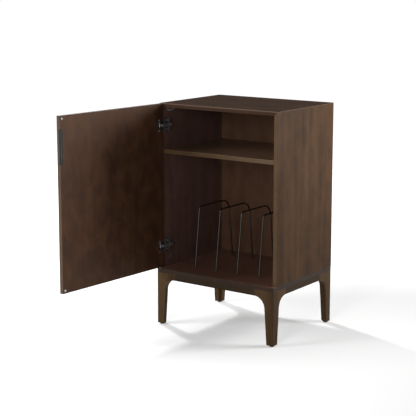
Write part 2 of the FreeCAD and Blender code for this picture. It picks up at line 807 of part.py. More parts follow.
# ---- Leg frame -----------------------------------------------------------------------
def leg_outline(origin, along):
    """Outline of one leg board: a head beside the rail, the round knee and the tapered leg."""
    def at(distance, drop):
        return origin + along * distance + DOWN * drop
    knee_start = leg_top_width + knee_radius
    knee_end = rail_height + knee_radius
    arc_step = knee_radius * (1 - math.sqrt(0.5))
    outline = [Part.LineSegment(at(0, 0), at(leg_head_length, 0)),
               Part.LineSegment(at(leg_head_length, 0), at(leg_head_length, rail_height)),
               Part.LineSegment(at(leg_head_length, rail_height), at(knee_start, rail_height)),
               Part.Arc(at(knee_start, rail_height), at(leg_top_width + arc_step, rail_height + arc_step),
                        at(leg_top_width, knee_end)),
               Part.LineSegment(at(leg_top_width, knee_end), at(leg_foot_width, leg_height)),
               Part.LineSegment(at(leg_foot_width, leg_height), at(0, leg_height)),
               Part.LineSegment(at(0, leg_height), at(0, 0))]
    return Part.Face(Part.Wire([piece.toShape() for piece in outline]))


def glide_point(side, end):
    """Middle of a leg's glide, at the foot."""
    corner = leg_origin(side, end)
    return V(corner.x - side * glide_inset, corner.y - end * glide_inset, leg_bottom)


def leg(side, end):
    """Two boards mitred into one angle-shaped leg."""
    origin = leg_origin(side, end)
    across = leg_outline(origin, RIGHT * -side).extrude(BACK * (-end * frame_board))
    along = leg_outline(origin, BACK * -end).extrude(RIGHT * (-side * frame_board))
    solid = across.fuse(along).removeSplitter()
    solid = soften(solid, floor_corner_radius, [(origin.x, origin.y, None)])
    nail_room = glide_nail_diameter + 2 * glide_nail_fit
    nail_hole = rod(glide_point(side, end), UP, glide_nail_length + glide_nail_fit, nail_room)
    return without(solid, rail_dowel_holes() + [nail_hole])


def rail(low, high):
    """A rail between two legs, given its two opposite corners in plan."""
    board = block((low.x, high.x), (low.y, high.y), (floor_bottom - rail_height, floor_bottom))
    return without(board, rail_dowel_holes() + rail_screw_holes())


def corner_block(side, end):
    """Three-cornered glue block inside a leg, screwed up into the floor panel."""
    inner = leg_origin(side, end) - V(side * frame_board, end * frame_board, corner_block_height)
    points = [inner, inner - RIGHT * (side * corner_block_leg), inner - BACK * (end * corner_block_leg)]
    return without(prism(points, UP * corner_block_height), [block_screw_hole(side, end)])


def glide(side, end):
    """Nail-on glide under a leg."""
    top = glide_point(side, end)
    disc = rod(top, DOWN, glide_height, glide_diameter)
    disc = soften(disc, glide_edge_radius, [(None, None, leg_bottom - glide_height)])
    return disc.fuse(rod(top, UP, glide_nail_length, glide_nail_diameter))


def make_leg_frame():
    """Legs, rails, corner blocks, glides and what joins them."""
    x = half_width - leg_head_length
    y = frame_back - leg_head_length
    nodes = {"front_rail": [rail(V(-x, frame_front, 0), V(x, frame_front + frame_board, 0))],
             "back_rail": [rail(V(-x, frame_back - frame_board, 0), V(x, frame_back, 0))],
             "left_rail": [rail(V(-half_width, -y, 0), V(-half_width + frame_board, y, 0))],
             "right_rail": [rail(V(half_width - frame_board, -y, 0), V(half_width, y, 0))]}
    for name, side, end in corners():
        nodes["leg_" + name] = [leg(side, end)]
        nodes["corner_block_" + name] = [corner_block(side, end)]
        nodes["glide_" + name] = [glide(side, end)]
    nodes["rail_dowels"] = [rod(p, d, *rail_dowel_sizes) for p, d in rail_dowel_places()]
    block_points = [block_screw_point(side, end) for _, side, end in corners()]
    sizes = block_screw_sizes
    nodes["corner_block_screws"] = [screw(p, UP, block_screw_length, sizes) for p in block_points]
    nodes["rail_screws"] = [screw(p, UP, rail_screw_length, sizes) for p in rail_screw_points()]
    return nodes


# ---- Write one file for each node ----------------------------------------------------
def make_all():
    """Every node of the cabinet, by name, as a list of its solids."""
    nodes = {}
    for make in (make_case, make_case_fittings, make_dividers, make_hinges, make_door, make_leg_frame):
        nodes.update(make())
    return nodes


def write_all(nodes):
    """One STEP file for each node."""
    os.makedirs("parts", exist_ok=True)
    for name, shapes in nodes.items():
        whole = shapes[0] if len(shapes) == 1 else Part.makeCompound(shapes)
        whole.exportStep("parts/%s.step" % name)
        print("%-24s %2d solid(s) %12.1f mm3  valid %s"
              % (name, len(whole.Solids), whole.Volume, whole.isValid()))


cabinet = make_all()
write_all(cabinet)
print("door gap %.3f  ledge %.3f  top at %.1f" % (door_gap, ledge_depth, case_top))
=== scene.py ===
# %% [markdown]
# # A record cabinet, dressed in Blender
#
# The cabinet is already built: its boards, hinges, wires and legs come from the imported model, at
# their real size and in their real places. This lesson gives each of them its finish, and then
# adds a floor, lamps and a camera. Every piece keeps the shape and the place it was built with.
#
# The model is imported with Blender's glTF importer. Each piece then has its place baked into its
# mesh and no parent, so that every piece stands on its own.

# %% Load the frame
import math
from collections import namedtuple

import bpy
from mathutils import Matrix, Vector


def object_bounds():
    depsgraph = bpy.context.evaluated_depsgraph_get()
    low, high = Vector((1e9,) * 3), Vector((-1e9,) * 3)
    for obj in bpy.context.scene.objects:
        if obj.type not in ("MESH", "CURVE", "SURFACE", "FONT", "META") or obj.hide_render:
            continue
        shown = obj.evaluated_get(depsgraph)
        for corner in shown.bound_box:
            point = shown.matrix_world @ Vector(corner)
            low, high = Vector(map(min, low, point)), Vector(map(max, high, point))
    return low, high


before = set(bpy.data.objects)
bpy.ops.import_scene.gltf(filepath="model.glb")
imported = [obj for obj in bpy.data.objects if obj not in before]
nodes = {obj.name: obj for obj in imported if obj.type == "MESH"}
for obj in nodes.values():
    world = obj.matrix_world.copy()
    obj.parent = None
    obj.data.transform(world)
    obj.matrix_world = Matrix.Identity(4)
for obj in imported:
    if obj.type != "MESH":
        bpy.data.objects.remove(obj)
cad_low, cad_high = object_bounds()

MM = 0.001
print("nodes:", len(nodes), "box in mm:", [round(side / MM) for side in cad_high - cad_low])

# %% [markdown]
# ## Shader sums
#
# A finish is easier to read as `0.4 + 0.07 * mottle` than as a web of nodes. The class below wraps
# one output socket, and each operator adds the Math node that does the work. The reflected forms
# make `1 - mottle` work too. The operators are for numbers only. A Math node turns a colour grey,
# so colours are blended in another way, further down.

# %% A value that varies over a surface
class Mask:
    """One output socket, which can be used in a sum."""

    def __init__(self, finish, socket):
        self.finish = finish
        self.socket = socket

    def math(self, operation, *others):
        """A Math node on this value and the others."""
        sockets = dict(enumerate((self,) + others))
        return self.finish.add("ShaderNodeMath", {"operation": operation}, sockets)

    def __add__(self, other):
        return self.math("ADD", other)

    def __radd__(self, other):
        return self.math("ADD", other)

    def __sub__(self, other):
        return self.math("SUBTRACT", other)

    def __rsub__(self, other):
        return self.finish.add("ShaderNodeMath", {"operation": "SUBTRACT"}, {0: other, 1: self})

    def __mul__(self, other):
        return self.math("MULTIPLY", other)

    def __rmul__(self, other):
        return self.math("MULTIPLY", other)

    def __truediv__(self, other):
        return self.math("DIVIDE", other)

    def between(self, low, high):
        """Nought at low, one at high and smooth in between."""
        settings = {"interpolation_type": "SMOOTHSTEP"}
        sockets = {"Value": self, "From Min": low, "From Max": high}
        return self.finish.add("ShaderNodeMapRange", settings, sockets)


print("a mask can be added, taken away, multiplied and divided")

# %% [markdown]
# ## Any other node
#
# A node tree needs many kinds of node, and a helper for each kind would be a long list to learn.
# One method adds them all: it takes the node's type, then its settings, then the values or links of
# its sockets. The settings go first because some of them, such as the data type of a Mix node,
# decide which sockets there are.

# %% A finish and its nodes
def set_stops(ramp, stops):
    """Gives a colour ramp its stops, as pairs of a position and a colour."""
    while len(ramp.elements) < len(stops):
        ramp.elements.new(0.5)    # the loop below moves it to its own position
    for element, (position, colour) in zip(ramp.elements, stops):
        element.position = position
        element.color = (*colour, 1)


class Finish:
    """The nodes of a material or a world."""

    def __init__(self, owner):
        owner.use_nodes = True
        self.owner = owner
        self.tree = owner.node_tree
        self.tree.nodes.clear()

    def add(self, kind, settings=None, sockets=None, output=0):
        """Adds a node and returns one of its outputs, if it has any."""
        node = self.tree.nodes.new(kind)
        for name, value in (settings or {}).items():
            if name == "stops":
                set_stops(node.color_ramp, value)
            else:
                setattr(node, name, value)
        for name, value in (sockets or {}).items():
            self.plug(node.inputs[name], value)
        return Mask(self, node.outputs[output]) if node.outputs else None

    def plug(self, socket, value):
        """Links a socket to a mask, or sets it to a plain number or colour."""
        if isinstance(value, Mask):
            self.tree.links.new(value.socket, socket)
        elif socket.type == "RGBA":
            socket.default_value = (*value, 1)
        else:
            socket.default_value = value


print("one method adds every other node")

# %% [markdown]
# ## A place on the object
#
# Real grain runs straight through a board, so the end of a board shows the same grain cut across.
# A pattern laid on unwrapped faces would break at each edge. Every finish here reads the place of
# a point in the object instead, in metres, and draws with that. Stretching the place stretches
# what is drawn: a small scale along the grain and a large one across it turn round spots of noise
# into streaks.

# %% Places and noise
def place(finish):
    """Where a point lies in the object, in metres."""
    return finish.add("ShaderNodeTexCoord", output="Object")


def stretched(finish, scale, shift=(0.0, 0.0, 0.0)):
    """The same place, scaled along X, Y and Z and then shifted."""
    sockets = {"Vector": place(finish), "Scale": scale, "Location": shift}
    return finish.add("ShaderNodeMapping", sockets=sockets)


def along(grain, lengthwise, crosswise):
    """A scale with few changes along the grain and many across it."""
    scale = [crosswise] * 3
    scale["XYZ".index(grain)] = lengthwise
    return scale


def noise(finish, vector, detail, roughness=0.5, distortion=0.0):
    """Soft random spots, about one to each unit of the stretched place."""
    spots = {"Scale": 1.0, "Detail": detail, "Roughness": roughness, "Distortion": distortion}
    return finish.add("ShaderNodeTexNoise", sockets={"Vector": vector, **spots})


print("a streak along Z has the scale", along("Z", 1, 20))

# %% [markdown]
# ## Colour, relief and surface
#
# Two colours are blended by a Mix node, with a mask as its share. Marks too fine to model, such as
# open pores, become a Bump, which bends the light and leaves the shape alone. All finishes end in
# the Principled shader, which covers wood, metal and plastic alike. What is the same all over, such
# as the strength of the sheen, is set on the shader itself.

# %% Mixing, bump and surface
# a Mix node has sockets for other kinds of data too, so those for colours go by number
MIX_SHARE, MIX_FIRST, MIX_SECOND, MIX_RESULT = 0, 6, 7, 2


def mix(finish, share, first, second):
    """A colour between two colours."""
    sockets = {MIX_SHARE: share, MIX_FIRST: first, MIX_SECOND: second}
    return finish.add("ShaderNodeMix", {"data_type": "RGBA"}, sockets, output=MIX_RESULT)


def darker(colour, share):
    """A colour brought down to a share of itself."""
    return tuple(part * share for part in colour)


def bump(finish, relief, strength, depth):
    """A normal that follows a relief."""
    sockets = {"Height": relief, "Strength": strength, "Distance": depth}
    return finish.add("ShaderNodeBump", sockets=sockets)


def surface(finish, **sockets):
    """Ends a finish in the Principled shader, whose sockets go by name, as the material."""
    by_name = {name.replace("_", " "): value for name, value in sockets.items()}
    shader = finish.add("ShaderNodeBsdfPrincipled", sockets=by_name)
    finish.add("ShaderNodeOutputMaterial", sockets={"Surface": shader})
    return finish.owner


def new_finish(name):
    """An empty finish for a new material."""
    return Finish(bpy.data.materials.new(name))


print("half of a mid brown is", darker((0.2, 0.1, 0.05), 0.5))

# %% [markdown]
# ## The figure of the wood
#
# The boards are faced with a fine, even veneer under a dark brown stain and a satin lacquer. Four
# things show through it: soft mottle where the wood took more stain, broad bands down the board,
# fine fibres, and pores that the lacquer doesn't quite fill. A picture of wood would carry them all
# but would repeat. One stretched noise for each of them doesn't, and a board can then have more of
# one and less of another.

# %% Layers of grain
Grain = namedtuple("Grain", "mottle fibres pits figure")

# how often each layer changes in a metre, along the grain and across it
MOTTLE_SCALE = (15.0, 24.0)
BAND_SCALE = (1.2, 26.0)
FIBRE_SCALE = (6.0, 240.0)
PORE_SCALE = (70.0, 1500.0)
SHIFT_DIRECTION = (1.0, 1.7, 0.6)

# the values of each noise between which a mark goes from none to full
MIDDLE_RANGE = (0.30, 0.70)
BAND_RANGE = (0.32, 0.68)
PIT_RANGE = (0.58, 0.74)


def draw_grain(wood, grain, shift, look):
    """The layers of the grain. The look is how much mottle, band and fibre the figure has."""
    offset = tuple(shift * part for part in SHIFT_DIRECTION)

    def layer(scale, **quality):
        return noise(wood, stretched(wood, along(grain, *scale), offset), **quality)

    mottle = layer(MOTTLE_SCALE, detail=3.5, roughness=0.55, distortion=0.4)
    bands = layer(BAND_SCALE, detail=2.5, distortion=0.3)
    fibres = layer(FIBRE_SCALE, detail=4.0, roughness=0.6)
    pores = layer(PORE_SCALE, detail=1.5, roughness=0.6)
    mottle_share, band_share, fibre_share = look
    figure = mottle.between(*MIDDLE_RANGE) * mottle_share + bands.between(*BAND_RANGE) * band_share
    figure = figure + fibres.between(*MIDDLE_RANGE) * fibre_share
    return Grain(mottle, fibres, pores.between(*PIT_RANGE), figure)


print("layers of the grain:", ", ".join(Grain._fields))

# %% [markdown]
# ## Stains, face by face
#
# A stain doesn't take the same everywhere, and the banded edges came out in a tone of their own.
# The faces inside the case are written lighter than the outside, which is painted light against the
# shade inside the case. Every face could get its own material slot, but then the slots would have
# to be sorted face by face. It is simpler to ask which way a surface looks: along the thickness of
# the board and inward, it is the inner face, and across the thickness it is an edge.

# %% Stains by face
Stain = namedtuple("Stain", "light dark")
Faces = namedtuple("Faces", "thickness inward inner edge")

# a surface looks along an axis from the first of these shares on, and fully from the second
SQUARE_ON = (0.6, 0.7)


def stain(light, dark_share):
    """A stain, whose dark tone is a share of its light one."""
    return Stain(light, darker(light, dark_share))


def brushed(wood, grain, tones):
    """A stain on the grain: light where the figure is high and dark where it is low."""
    return mix(wood, grain.figure, tones.dark, tones.light)


def facing(finish, axis):
    """How squarely a surface looks along the object's X, Y or Z, from minus one to one."""
    normal = finish.add("ShaderNodeTexCoord", output="Normal")
    return finish.add("ShaderNodeSeparateXYZ", sockets={"Vector": normal}, output=axis)


def brush_faces(wood, grain, colour, faces):
    """The colour of the outer face, with the inner face and the edges in tones of their own. The
    inner tone is raised as painted light.
    """
    inward = facing(wood, faces.thickness) * faces.inward
    colour = mix(wood, inward.between(*SQUARE_ON), colour, brushed(wood, grain, faces.inner))
    on_edge = 1 - inward.math("ABSOLUTE").between(*SQUARE_ON)
    return mix(wood, on_edge, colour, brushed(wood, grain, faces.edge))


print("a stain has the tones", ", ".join(Stain._fields))

# %% [markdown]
# ## A painted highlight on the corner
#
# Where the top meets the sides, the eased edges catch the light, and a paler line runs round the
# case. Here that line is a painted highlight. A bevel in the mesh could carry it, but the line is
# only a few millimetres high and lies in the colour. A mask by height draws it, on upright surfaces
# alone, so that the level top stays dark.

# %% Painted corner highlight
PaintedHighlight = namedtuple("PaintedHighlight", "below_top share tone")

# the painted highlight is brightest this far below the top. It is light on the eased edge, not
# thinner stain
HIGHLIGHT_PEAK = 1.0 * MM    # how far below the top the stain is at its thinnest


def height(finish):
    """How high a point lies above the floor, in metres."""
    return finish.add("ShaderNodeSeparateXYZ", sockets={"Vector": place(finish)}, output="Z")


def paint_corner_highlight(wood, colour, highlight):
    """The colour with a painted highlight: a paler line just below the top of the case."""
    near_top = height(wood).between(cad_high.z - highlight.below_top, cad_high.z - HIGHLIGHT_PEAK)
    upright = 1 - facing(wood, "Z").between(*SQUARE_ON)
    return mix(wood, near_top * upright * highlight.share, colour, highlight.tone)


print("the rubbed line ends %.1f mm above the floor" % ((cad_high.z - HIGHLIGHT_PEAK) / MM))

# %% [markdown]
# ## Stained and lacquered wood
#
# This puts the layers together. Pits are darker than the stain round them, because stain gathers
# there. The lacquer is satin: mottle, fibres and pits make it a little rougher, and fibres stand up
# while pits sink in. Its sheen has a strength and a tint, because light that comes back through a
# brown lacquer is brown.

# %% Stained wood
EVEN_LOOK = (0.50, 0.25, 0.25)    # mottle, band and fibre
SATIN = 0.40
LOW_SHEEN = 0.14
WHITE = (1.0, 1.0, 1.0)

PIT_SHARE = 0.35
PIT_TONE = 0.45
MOTTLE_ROUGHNESS = 0.07
FIBRE_ROUGHNESS = 0.05
PIT_ROUGHNESS = 0.10
FIBRE_RELIEF = 0.4
PIT_RELIEF = 0.6
WOOD_BUMP = 0.25
WOOD_RELIEF_DEPTH = 0.3 * MM


def stained_wood(name, grain, tones, shift=0.0, look=EVEN_LOOK, faces=None, highlight=None,
                 roughness=SATIN, sheen=LOW_SHEEN, tint=WHITE):
    """Stained wood under a satin lacquer. The grain is the axis that it runs along."""
    wood = new_finish(name)
    layers = draw_grain(wood, grain, shift, look)
    colour = brushed(wood, layers, tones)
    if faces:
        colour = brush_faces(wood, layers, colour, faces)
    if highlight:
        colour = paint_corner_highlight(wood, colour, highlight)
    colour = mix(wood, layers.pits * PIT_SHARE, colour, darker(tones.dark, PIT_TONE))
    rough = roughness + MOTTLE_ROUGHNESS * layers.mottle + FIBRE_ROUGHNESS * layers.fibres
    rough = rough + PIT_ROUGHNESS * layers.pits
    relief = layers.fibres * FIBRE_RELIEF - layers.pits * PIT_RELIEF
    normal = bump(wood, relief, WOOD_BUMP, WOOD_RELIEF_DEPTH)
    return surface(wood, Base_Color=colour, Roughness=rough, Normal=normal,
                   Specular_IOR_Level=sheen, Specular_Tint=tint)


def dress(material, *names):
    """Puts one material in every slot of the named nodes."""
    for name in names:
        for slot in nodes[name].material_slots:
            slot.material = material
    print(material.name, "on", ", ".join(names))


print("unless told otherwise, wood has mottle, band and fibre in the shares", EVEN_LOOK)

# %% [markdown]
# ## The top
#
# The top lies flat under whatever stands on it. Its grain runs across the cabinet, its lacquer is
# flatter than elsewhere, and its underside is the ceiling of the case. It could be made very rough
# and no more, but even a rough lacquer turns pale when a white room is reflected at a low angle.
# With no sheen at all the top stays dark, and its stain is written greyer and paler than the sides
# as a painted sheen in its place.

# %% Top panel
GRAIN_STEP = 1.3    # how far the grain moves on from one board to the next
# the inner faces are written lighter than the outer stain, as painted light against the shade
# inside the case
INSIDE_WITH_PAINTED_LIGHT = stain((0.112, 0.060, 0.047), 0.65)
# the top's tone is greyer and paler than the sides: a painted sheen in place of the lacquer's
# reflection
TOP_STAIN_AND_PAINTED_SHEEN = stain((0.068, 0.045, 0.035), 0.62)
TOP_EDGE = stain((0.061, 0.034, 0.022), 0.64)

top_faces = Faces(thickness="Z", inward=-1, inner=INSIDE_WITH_PAINTED_LIGHT, edge=TOP_EDGE)
# painted highlight along the upper edge of the top panel
top_highlight = PaintedHighlight(below_top=4.5 * MM, share=0.7, tone=(0.185, 0.130, 0.098))
top = stained_wood("stained_top_panel", "X", TOP_STAIN_AND_PAINTED_SHEEN, shift=0 * GRAIN_STEP, look=(0.25, 0.45, 0.30),
                   faces=top_faces, highlight=top_highlight, roughness=0.62, sheen=0.0)
dress(top, "top_panel")

# %% [markdown]
# ## The two sides
#
# The sides are the same board twice, with the grain upright and broad bands in it. Two copies of
# one picture would look printed, so each side takes its grain from another stretch of the noise.
# Inward is plus X on the left side and minus X on the right one.

# %% Side panels
CASE = stain((0.069, 0.035, 0.017), 0.40)
# the edges' own stain, written a little lighter as a painted highlight along the front edge
FRONT_EDGE_AND_HIGHLIGHT = stain((0.105, 0.064, 0.036), 0.65)
INWARD = {"left_side_panel": 1, "right_side_panel": -1}

# painted highlight along the upper edge of the sides
side_highlight = PaintedHighlight(below_top=5.0 * MM, share=0.5, tone=(0.100, 0.068, 0.045))
for number, (name, inward) in enumerate(INWARD.items(), start=1):
    side_faces = Faces(thickness="X", inward=inward, inner=INSIDE_WITH_PAINTED_LIGHT, edge=FRONT_EDGE_AND_HIGHLIGHT)
    panel = stained_wood("stained_" + name, "Z", CASE, shift=number * GRAIN_STEP,
                         look=(0.42, 0.50, 0.08), faces=side_faces, highlight=side_highlight,
                         sheen=0.06, tint=(1.0, 0.90, 0.72))
    dress(panel, name)

# %% [markdown]
# ## The shelf
#
# The shelf is stained alike on both faces. These faces are written lighter than the case, as
# painted light against the shade in the compartments, and its edge is darker and a little warmer.
# It could share the material of the case, but it is smoother and shinier than the sides, so that it
# mirrors the back of the case a little.

# %% Shelf
# the shelf's faces are written lighter than the case, as painted light against the shade in the
# compartments
SHELF_WITH_PAINTED_LIGHT = stain((0.118, 0.070, 0.043), 0.64)
SHELF_EDGE = stain((0.072, 0.041, 0.020), 0.65)

shelf_faces = Faces(thickness="Z", inward=1, inner=SHELF_WITH_PAINTED_LIGHT, edge=SHELF_EDGE)
shelf = stained_wood("stained_shelf", "X", SHELF_WITH_PAINTED_LIGHT, shift=3 * GRAIN_STEP, look=(0.35, 0.35, 0.30),
                     faces=shelf_faces, roughness=0.24, sheen=0.50, tint=(1.0, 0.80, 0.60))
dress(shelf, "shelf")

# %% [markdown]
# ## The floor panel
#
# The floor panel is one board: inside the case it is the floor that the records stand on, and its
# edge shows as a dark line under the door and the sides. Its upper face is written much lighter
# than the case, as painted light against the shade inside the case. Two materials could be put on
# it face by face, but the stains by face already tell the warm upper face from the dark edge.

# %% Floor panel
# the upper face is written lighter than the case, as painted light against the shade inside the
# case
FLOOR_WITH_PAINTED_LIGHT = stain((0.172, 0.084, 0.057), 0.60)
LEDGE = stain((0.034, 0.020, 0.013), 0.46)

floor_faces = Faces(thickness="Z", inward=1, inner=FLOOR_WITH_PAINTED_LIGHT, edge=LEDGE)
floor_board = stained_wood("stained_floor_panel", "X", CASE, shift=4 * GRAIN_STEP,
                           look=(0.30, 0.40, 0.30), faces=floor_faces, roughness=0.27,
                           sheen=0.12, tint=(1.0, 0.80, 0.68))
dress(floor_board, "floor_panel")

# %% [markdown]
# ## The back
#
# The back is a thin panel in rebates. From behind it is as dark as the case, and from inside it is
# a shade lighter, which is painted light against the shade inside the case. It could repeat the
# sides, but it keeps the even look, with more mottle than bands, as a plainer sheet of veneer has.

# %% Back panel
# the inner face is written lighter than the case, as painted light against the shade inside the
# case
BACK_INSIDE_WITH_PAINTED_LIGHT = stain((0.092, 0.046, 0.026), 0.63)

back_faces = Faces(thickness="Y", inward=-1, inner=BACK_INSIDE_WITH_PAINTED_LIGHT, edge=CASE)
back = stained_wood("stained_back_panel", "Z", CASE, shift=5 * GRAIN_STEP, faces=back_faces)
dress(back, "back_panel")

# %% [markdown]
# ## The door
#
# The door's inner face is dark with strong mottle. The door hangs open, so this is the face one
# sees, and it catches a broad brown sheen that fades toward the hinges. That gradient could be
# painted, but it would stay in place when the door closes. A stronger, tinted sheen on a satin
# surface makes it out of the light instead. The door is stored open, so its thickness lies along X
# and its inner face looks along plus X.

# %% Door panel
DOOR_OUTSIDE = stain((0.052, 0.029, 0.015), 0.40)
DOOR_INSIDE = stain((0.051, 0.022, 0.010), 0.19)
DOOR_EDGE = stain((0.069, 0.045, 0.030), 0.71)

door_faces = Faces(thickness="X", inward=1, inner=DOOR_INSIDE, edge=DOOR_EDGE)
door = stained_wood("stained_door_panel", "Z", DOOR_OUTSIDE, shift=6 * GRAIN_STEP,
                    look=(0.60, 0.20, 0.20), faces=door_faces, roughness=0.45, sheen=0.33,
                    tint=(1.0, 0.60, 0.43))
dress(door, "door_panel")

# %% [markdown]
# ## Rails and legs
#
# The rails under the case are solid wood, stained darker than the legs that they join. The back
# legs are written lighter than the front ones, as painted light for the light that reaches them
# under the case. Bands show more here than in the boards, and mottle hardly at all. Each rail's
# grain runs along it and each leg's runs down it, which is how they are cut for strength. One
# material for all of them would need the grain to turn with the piece, so each gets its own from a
# loop.

# %% Rails and legs
RAIL = stain((0.038, 0.024, 0.014), 0.36)
LEG = stain((0.079, 0.044, 0.020), 0.34)
# painted light: the back legs are written lighter for the light that reaches them under the case
BACK_LEG_PAINTED_LIGHT = stain((0.103, 0.058, 0.027), 0.40)
CORNERS = ("front_left", "front_right", "back_left", "back_right")
RAIL_GRAIN = {"front": "X", "back": "X", "left": "Y", "right": "Y"}
FIRST_RAIL_SHIFT = 11
FIRST_LEG_SHIFT = 20
BASE_ROUGHNESS = 0.45
BASE_TINT = (1.0, 0.85, 0.70)

for number, (side, grain) in enumerate(RAIL_GRAIN.items()):
    rail = stained_wood("stained_%s_rail" % side, grain, RAIL, shift=FIRST_RAIL_SHIFT + number,
                        look=(0.15, 0.60, 0.25), roughness=BASE_ROUGHNESS, sheen=0.08,
                        tint=BASE_TINT)
    dress(rail, side + "_rail")
for number, corner in enumerate(CORNERS):
    # the back legs take the lighter tone, which is painted light
    tones = BACK_LEG_PAINTED_LIGHT if corner.startswith("back") else LEG
    leg = stained_wood("stained_leg_" + corner, "Z", tones, shift=FIRST_LEG_SHIFT + number,
                       look=(0.10, 0.60, 0.30), roughness=BASE_ROUGHNESS, sheen=0.09,
                       tint=BASE_TINT)
    dress(leg, "leg_" + corner)

# %% [markdown]
# ## The hidden wood
#
# Corner blocks and dowels are never stained. They are plain sawn and turned wood, pale and dry.
# They could be left grey, since almost nobody sees them, but a finish costs one line when the
# wood recipe is there.

# %% Plain wood
PLAIN = stain((0.50, 0.34, 0.20), 0.65)

plain_wood = stained_wood("plain_wood", "X", PLAIN, roughness=0.6)
dress(plain_wood, *("corner_block_" + corner for corner in CORNERS))
dress(plain_wood, "side_dowels", "shelf_dowels", "rail_dowels")

# %% [markdown]
# ## Plated metal
#
# Hinges, brackets and screws are plated steel. Plating is never quite even: it has a soft cloud of
# rougher and smoother spots, and fine marks from rolling or drawing. A plain grey metal would
# mirror the room too cleanly, so both kinds of marks go into its roughness, and the fine ones into
# a bump.

# %% Plated metal
CLOUD_SCALE = (60.0, 60.0, 60.0)
ROLLING_SCALE = (90.0, 1400.0)
CLOUD_SHARE = 0.5
CLOUD_TONE = 0.8
CLOUD_ROUGHNESS = 0.08
ROLLING_ROUGHNESS = 0.04
PLATING_BUMP = 0.15
PLATING_RELIEF_DEPTH = 0.1 * MM


def plated(name, colour, roughness, grain="Z"):
    """Plated metal with soft clouds, and fine marks along its grain."""
    metal = new_finish(name)
    clouds = noise(metal, stretched(metal, CLOUD_SCALE), detail=3.0)
    rolling = noise(metal, stretched(metal, along(grain, *ROLLING_SCALE)), detail=2.0)
    cloudy = clouds.between(*MIDDLE_RANGE) * CLOUD_SHARE
    tone = mix(metal, cloudy, colour, darker(colour, CLOUD_TONE))
    rough = roughness + CLOUD_ROUGHNESS * clouds + ROLLING_ROUGHNESS * rolling
    normal = bump(metal, rolling, PLATING_BUMP, PLATING_RELIEF_DEPTH)
    return surface(metal, Base_Color=tone, Metallic=1.0, Roughness=rough, Normal=normal)


print("clouds and rolling marks change the roughness by", CLOUD_ROUGHNESS, ROLLING_ROUGHNESS)

# %% [markdown]
# ## Hinges
#
# A concealed hinge is made of three pressings: a cup let into the door, a plate on the wall of the
# case and an arm between them. The cup and plate are written dark, partly as painted shade, and the
# arm brighter, partly as painted light. One shared steel would melt them into a single shape at
# this size, so each gets its own tone.

# %% Hinge steels
# the dark cup and plate are partly painted shade, and the brighter arm is partly painted light
HINGE_STEELS_AND_PAINTED_SHADE = {
    "cup": ((0.08, 0.08, 0.084), 0.42),
    "plate": ((0.11, 0.11, 0.114), 0.42),
    "arm": ((0.27, 0.27, 0.262), 0.40),
}

for part, (colour, roughness) in HINGE_STEELS_AND_PAINTED_SHADE.items():
    steel = plated(part + "_steel", colour, roughness)
    dress(steel, *("%s_hinge_%s" % (level, part) for level in ("upper", "lower")))

# %% [markdown]
# ## Brackets, pins, screws and cam locks
#
# Brackets, pins and screws are bright zinc. The cam locks at the foot of the sides are cast, which
# leaves them darker and rougher than plated steel. The same recipe makes both, with other numbers.

# %% Fittings
bracket_zinc = plated("bracket_zinc", (0.50, 0.50, 0.49), roughness=0.40)
dress(bracket_zinc, "left_top_bracket", "right_top_bracket", "bracket_screws", "hinge_pins",
      "hinge_plate_screws", "hinge_arm_screws", "hinge_cup_screws", "back_panel_screws",
      "corner_block_screws", "rail_screws")
cam_zinc = plated("cam_zinc", (0.20, 0.19, 0.185), roughness=0.50)
dress(cam_zinc, "cam_locks", "cam_bolts")

# %% [markdown]
# ## Record dividers and the finger recess
#
# The dividers are steel wire with a black nickel plate, smooth enough for a bright line down each
# upright. Black paint would be simpler but would lose that line. The lining of the finger recess is
# gunmetal, brushed almost matt.

# %% Dark metals
DIVIDERS = 4

wire_plate = plated("divider_wire_plate", (0.050, 0.047, 0.042), roughness=0.30, grain="Y")
dress(wire_plate, *("record_divider_%d" % number for number in range(1, DIVIDERS + 1)))
gunmetal = plated("pull_gunmetal", (0.072, 0.068, 0.062), roughness=0.58)
dress(gunmetal, "door_pull")

# %% [markdown]
# ## Bumpers and glides
#
# The bumpers are drops of soft clear plastic that cushion the door, and the glides are moulded
# black plastic. Clear plastic could be all glass, but a soft bumper is milky, so only part of its
# light passes through. Both carry the fine texture of their mould.

# %% Plastics
MOULD_TONE = 0.8
MOULD_ROUGHNESS = 0.1
MOULD_BUMP = 0.2
MOULD_RELIEF_DEPTH = 0.2 * MM


def moulded(name, colour, roughness, texture_scale, clearness=0.0):
    """Moulded plastic with the fine texture of its mould."""
    plastic = new_finish(name)
    texture = noise(plastic, stretched(plastic, (texture_scale,) * 3), detail=2.0)
    tone = mix(plastic, texture, colour, darker(colour, MOULD_TONE))
    rough = roughness + MOULD_ROUGHNESS * texture
    normal = bump(plastic, texture, MOULD_BUMP, MOULD_RELIEF_DEPTH)
    return surface(plastic, Base_Color=tone, Roughness=rough, Normal=normal,
                   Transmission_Weight=clearness)


bumper = moulded("clear_bumper", (0.62, 0.62, 0.60), roughness=0.12, texture_scale=300.0,
                 clearness=0.35)
dress(bumper, "door_bumpers")
glide = moulded("black_glide", (0.02, 0.02, 0.02), roughness=0.45, texture_scale=1200.0)
dress(glide, *("glide_" + corner for corner in CORNERS))

# %% [markdown]
# ## The floor
#
# The cabinet stands on a pale floor that runs out to white. Stronger lamps could bleach a floor,
# but they would wash out the dark wood with it. This floor is a pale grey that also glows, and only
# for rays from the eye, from a mirror or through clear plastic. The glow is weaker under the
# cabinet, which paints a shadow there, and it rises to white some way out. It still takes the
# shadow, and the cabinet meets the glow only as a reflection.

# %% Floor
FLOOR_SIZE = 60.0
FLOOR_SHADE = 0.65
# the low glow near the middle is a painted shadow under the cabinet. Far out the floor is white
GLOW_AND_PAINTED_SHADE_STOPS = ((0.35, 0.365), (0.85, 0.535), (3.2, 1.0))    # distance in metres and glow


